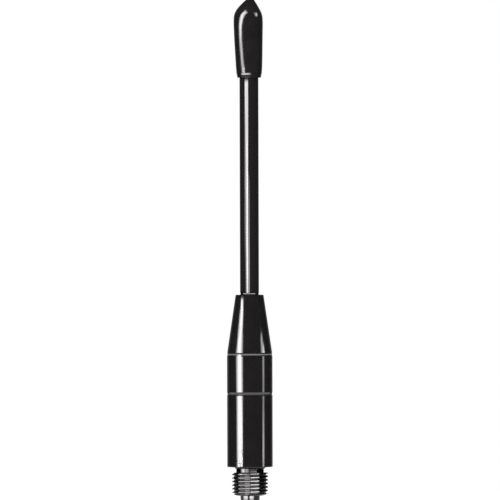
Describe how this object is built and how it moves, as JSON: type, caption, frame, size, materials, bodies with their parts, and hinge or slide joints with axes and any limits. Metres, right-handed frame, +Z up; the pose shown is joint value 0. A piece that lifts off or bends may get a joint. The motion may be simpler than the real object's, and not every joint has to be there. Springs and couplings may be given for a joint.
{
  "type": "rod antenna",
  "caption": "Short flexible rod antenna with a soft tip cap, a tapered base that holds a loading coil, and a fine-threaded coaxial stud with a centre contact.",
  "frame": {"origin": "centre of the lower housing's flat foot, the face that seats on the set", "axes": "+Z up the rod towards the tip cap, -Z along the threaded stud, X and Y across the rod"},
  "size_m": [0.01, 0.01, 0.1135],
  "materials": {
    "cap_vinyl": "glossy soft vinyl",
    "sheath_plastic": "glossy black sheath",
    "housing_plastic": "polished black moulding",
    "seal_rubber": "black rubber",
    "black_nickel": "dark plated metal",
    "bright_nickel": "bright plated metal",
    "tinned_brass": "lightly tinned brass",
    "spring_steel": "drawn spring steel",
    "copper_wire": "enamelled copper",
    "white_insulator": "white fluoroplastic",
    "former_plastic": "natural nylon"
  },
  "bodies": {
    "root": {"tip_cap": "cap_vinyl", "rod_sheath": "sheath_plastic", "whip_core": "spring_steel", "rod_ferrule": "bright_nickel", "rod_seal": "seal_rubber", "upper_housing": "housing_plastic", "lower_housing": "housing_plastic", "seam_seal": "seal_rubber", "whip_tag": "tinned_brass", "whip_washer": "spring_steel", "whip_nut": "tinned_brass", "loading_coil": "copper_wire", "coil_former": "former_plastic", "pin_tag": "tinned_brass", "pin_washer": "spring_steel", "pin_nut": "tinned_brass", "upper_insulator": "white_insulator", "connector_body": "black_nickel", "lower_insulator": "white_insulator", "contact_pin": "black_nickel", "neck_seal": "seal_rubber"}
  },
  "joints": []
}
